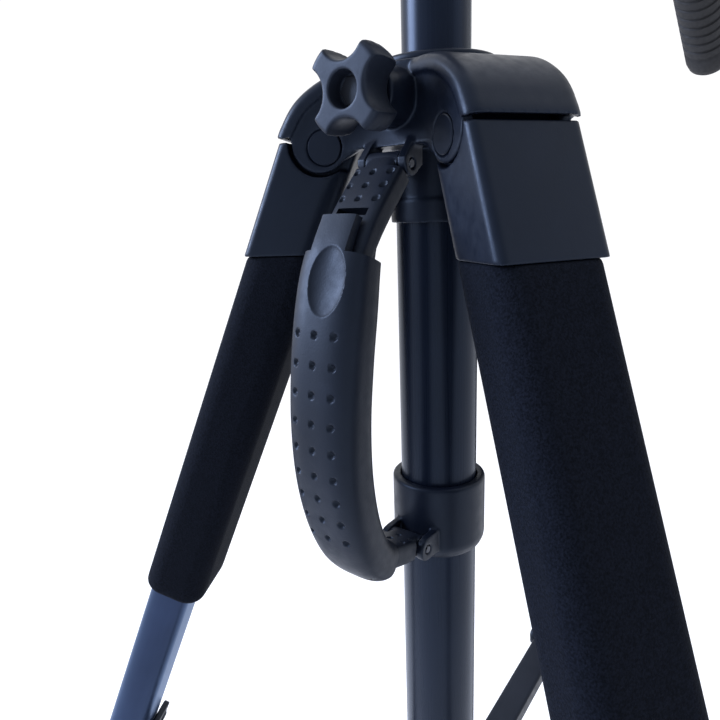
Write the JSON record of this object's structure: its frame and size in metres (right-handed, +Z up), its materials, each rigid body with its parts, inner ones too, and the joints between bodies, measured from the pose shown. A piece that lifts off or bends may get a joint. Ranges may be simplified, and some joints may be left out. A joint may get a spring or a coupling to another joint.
{
  "type": "tripod with fluid head",
  "caption": "Photo and video tripod with spreading telescopic legs, geared by a brace to a guide tube, a carrying handle, a sliding column and a fluid pan and tilt head.",
  "frame": {"origin": "centre of the bounding box on the floor, legs fully spread and extended", "axes": "+Z up along the column, -Y towards the column lock knob and the carrying handle, +Y towards the rear leg and the pan handle"},
  "size_m": [0.921, 0.8008, 1.3934],
  "materials": {
    "column_metal": "black anodised, satin",
    "crown_plastic": "black moulded plastic, fine satin texture",
    "foam": "black cellular foam, matt",
    "head_metal": "black fine-textured paint",
    "knob_plastic": "black moulded plastic",
    "leg_metal": "blue-black anodised, satin",
    "lever_plastic": "black moulded plastic",
    "rubber": "black rubber",
    "soft_plastic": "soft-touch dark grey plastic",
    "steel": "plain turned steel",
    "yoke_plastic": "black moulded plastic, satin"
  },
  "bodies": {
    "frame": {"crown": "crown_plastic", "top_bushing": "crown_plastic", "guide_tube": "column_metal", "handle_collar": "crown_plastic", "handle_lower_link": "soft_plastic", "handle_upper_pin": "steel", "handle_lower_pin": "steel", "leg_pin_left": "crown_plastic", "leg_pin_right": "crown_plastic", "leg_pin_rear": "crown_plastic"},
    "column_lock": {"column_lock_knob": "knob_plastic"},
    "brace_slider": {"brace_hub": "lever_plastic"},
    "column": {"centre_column": "column_metal", "head_base": "head_metal"},
    "carry_grip": {"handle_grip": "soft_plastic"},
    "carry_link": {"handle_upper_link": "soft_plastic"},
    "pan_unit": {"pan_housing": "head_metal"},
    "pan_lock": {"pan_lock_knob": "knob_plastic"},
    "tilt_unit": {"tilt_platform": "head_metal"},
    "tilt_lock": {"tilt_lock_knob": "knob_plastic"},
    "camera_plate": {"quick_release_plate": "rubber"},
    "camera_bolt": {"camera_screw": "steel"},
    "pan_bar": {"pan_handle": "head_metal", "pan_handle_grip": "rubber"},
    "leg_left": {"yoke_left": "yoke_plastic", "foam_grip_left": "foam", "upper_tube_left": "leg_metal", "brace_bracket_left": "lever_plastic", "upper_lock_left": "lever_plastic"},
    "strut_left": {"brace_strut_left": "lever_plastic"},
    "upper_latch_left": {"upper_lever_left": "lever_plastic"},
    "middle_leg_left": {"middle_tube_left": "leg_metal", "lower_lock_left": "lever_plastic"},
    "lower_latch_left": {"lower_lever_left": "lever_plastic"},
    "lower_leg_left": {"lower_tube_left": "leg_metal", "foot_left": "rubber"},
    "leg_right": {"yoke_right": "yoke_plastic", "foam_grip_right": "foam", "upper_tube_right": "leg_metal", "brace_bracket_right": "lever_plastic", "upper_lock_right": "lever_plastic"},
    "strut_right": {"brace_strut_right": "lever_plastic"},
    "upper_latch_right": {"upper_lever_right": "lever_plastic"},
    "middle_leg_right": {"middle_tube_right": "leg_metal", "lower_lock_right": "lever_plastic"},
    "lower_latch_right": {"lower_lever_right": "lever_plastic"},
    "lower_leg_right": {"lower_tube_right": "leg_metal", "foot_right": "rubber"},
    "leg_rear": {"yoke_rear": "yoke_plastic", "foam_grip_rear": "foam", "upper_tube_rear": "leg_metal", "brace_bracket_rear": "lever_plastic", "upper_lock_rear": "lever_plastic"},
    "strut_rear": {"brace_strut_rear": "lever_plastic"},
    "upper_latch_rear": {"upper_lever_rear": "lever_plastic"},
    "middle_leg_rear": {"middle_tube_rear": "leg_metal", "lower_lock_rear": "lever_plastic"},
    "lower_latch_rear": {"lower_lever_rear": "lever_plastic"},
    "lower_leg_rear": {"lower_tube_rear": "leg_metal", "foot_rear": "rubber"}
  },
  "joints": [
    {"name": "leg_rear_fold", "type": "hinge", "parent": "frame", "child": "leg_rear", "pos_m": [0, -0.08745, 1.125], "axis": [-1, 0, 0], "range_deg": [0, 18.5]},
    {"name": "leg_left_fold", "type": "hinge", "parent": "frame", "child": "leg_left", "pos_m": [-0.03239, -0.14355, 1.125], "axis": [0.5, -0.866, 0], "range_deg": [0, 18.5]},
    {"name": "leg_right_fold", "type": "hinge", "parent": "frame", "child": "leg_right", "pos_m": [0.03239, -0.14355, 1.125], "axis": [0.5, 0.866, 0], "range_deg": [0, 18.5]},
    {"name": "strut_rear_swing", "type": "hinge", "parent": "leg_rear", "child": "strut_rear", "pos_m": [0, 0.00668, 0.83381], "axis": [1, 0, 0], "range_deg": [0, 100.22]},
    {"name": "strut_left_swing", "type": "hinge", "parent": "leg_left", "child": "strut_left", "pos_m": [-0.11391, -0.19062, 0.83381], "axis": [-0.5, 0.866, 0], "range_deg": [0, 100.22]},
    {"name": "strut_right_swing", "type": "hinge", "parent": "leg_right", "child": "strut_right", "pos_m": [0.11391, -0.19062, 0.83381], "axis": [-0.5, -0.866, 0], "range_deg": [0, 100.22]},
    {"name": "brace_slider_travel", "type": "slide", "parent": "frame", "child": "brace_slider", "axis": [0, 0, -1], "range_m": [0, 0.09618]},
    {"name": "middle_leg_left_slide", "type": "slide", "parent": "leg_left", "child": "middle_leg_left", "axis": [0.3328, 0.1921, 0.9232], "range_m": [0, 0.32]},
    {"name": "lower_leg_left_slide", "type": "slide", "parent": "middle_leg_left", "child": "lower_leg_left", "axis": [0.3328, 0.1921, 0.9232], "range_m": [0, 0.28]},
    {"name": "upper_latch_left_flip", "type": "hinge", "parent": "leg_left", "child": "upper_latch_left", "pos_m": [-0.20045, -0.24058, 0.71293], "axis": [-0.5, 0.866, 0], "range_deg": [0, 100]},
    {"name": "lower_latch_left_flip", "type": "hinge", "parent": "middle_leg_left", "child": "lower_latch_left", "pos_m": [-0.32512, -0.31256, 0.36125], "axis": [-0.5, 0.866, 0], "range_deg": [0, 100]},
    {"name": "middle_leg_right_slide", "type": "slide", "parent": "leg_right", "child": "middle_leg_right", "axis": [-0.3328, 0.1921, 0.9232], "range_m": [0, 0.32]},
    {"name": "lower_leg_right_slide", "type": "slide", "parent": "middle_leg_right", "child": "lower_leg_right", "axis": [-0.3328, 0.1921, 0.9232], "range_m": [0, 0.28]},
    {"name": "upper_latch_right_flip", "type": "hinge", "parent": "leg_right", "child": "upper_latch_right", "pos_m": [0.20045, -0.24058, 0.71293], "axis": [-0.5, -0.866, 0], "range_deg": [0, 100]},
    {"name": "lower_latch_right_flip", "type": "hinge", "parent": "middle_leg_right", "child": "lower_latch_right", "pos_m": [0.32512, -0.31256, 0.36125], "axis": [-0.5, -0.866, 0], "range_deg": [0, 100]},
    {"name": "middle_leg_rear_slide", "type": "slide", "parent": "leg_rear", "child": "middle_leg_rear", "axis": [0, -0.3843, 0.9232], "range_m": [0, 0.32]},
    {"name": "lower_leg_rear_slide", "type": "slide", "parent": "middle_leg_rear", "child": "lower_leg_rear", "axis": [0, -0.3843, 0.9232], "range_m": [0, 0.28]},
    {"name": "upper_latch_rear_flip", "type": "hinge", "parent": "leg_rear", "child": "upper_latch_rear", "pos_m": [0, 0.10661, 0.71293], "axis": [1, 0, 0], "range_deg": [0, 100]},
    {"name": "lower_latch_rear_flip", "type": "hinge", "parent": "middle_leg_rear", "child": "lower_latch_rear", "pos_m": [0, 0.25056, 0.36125], "axis": [1, 0, 0], "range_deg": [0, 100]},
    {"name": "column_lift", "type": "slide", "parent": "frame", "child": "column", "axis": [0, 0, 1], "range_m": [-0.09, 0.24]},
    {"name": "column_lock_turn", "type": "hinge", "parent": "frame", "child": "column_lock", "pos_m": [0, -0.16985, 1.1387], "axis": [0, -1, 0], "range_deg": [0, 360]},
    {"name": "carry_grip_pull", "type": "slide", "parent": "frame", "child": "carry_grip", "axis": [0, 1, 0], "range_m": [0, 0.004]},
    {"name": "carry_link_swing", "type": "hinge", "parent": "frame", "child": "carry_link", "pos_m": [0, -0.15485, 1.118], "axis": [1, 0, 0], "range_deg": [0, 8.23]},
    {"name": "pan", "type": "hinge", "parent": "column", "child": "pan_unit", "pos_m": [0, -0.12485, 1.263], "axis": [0, 0, 1], "continuous": true},
    {"name": "tilt", "type": "hinge", "parent": "pan_unit", "child": "tilt_unit", "pos_m": [0, -0.12485, 1.347], "axis": [-1, 0, 0], "range_deg": [-75, 40]},
    {"name": "pan_lock_turn", "type": "hinge", "parent": "pan_unit", "child": "pan_lock", "pos_m": [-0.027, -0.12485, 1.288], "axis": [-1, 0, 0], "range_deg": [0, 360]},
    {"name": "tilt_lock_turn", "type": "hinge", "parent": "tilt_unit", "child": "tilt_lock", "pos_m": [-0.0293, -0.12485, 1.347], "axis": [-1, 0, 0], "range_deg": [0, 360]},
    {"name": "pan_bar_angle", "type": "hinge", "parent": "tilt_unit", "child": "pan_bar", "pos_m": [0.0293, -0.12485, 1.347], "axis": [1, 0, 0], "range_deg": [-30, 45]},
    {"name": "camera_plate_slide", "type": "slide", "parent": "tilt_unit", "child": "camera_plate", "axis": [0, 1, 0], "range_m": [-0.012, 0.012]},
    {"name": "camera_bolt_turn", "type": "hinge", "parent": "camera_plate", "child": "camera_bolt", "pos_m": [0, -0.12485, 1.3788], "axis": [0, 0, 1], "continuous": true}
  ],
  "couplings": [
    {"joint": "leg_left_fold", "follows": "leg_rear_fold", "ratio": 1},
    {"joint": "leg_right_fold", "follows": "leg_rear_fold", "ratio": 1},
    {"joint": "strut_rear_swing", "follows": "leg_rear_fold", "ratio": 5.4066},
    {"joint": "strut_left_swing", "follows": "leg_rear_fold", "ratio": 5.4066},
    {"joint": "strut_right_swing", "follows": "leg_rear_fold", "ratio": 5.4066},
    {"joint": "brace_slider_travel", "follows": "leg_rear_fold", "m_per_rad": 0.29632},
    {"joint": "carry_link_swing", "follows": "carry_grip_pull", "rad_per_m": 35.461}
  ]
}
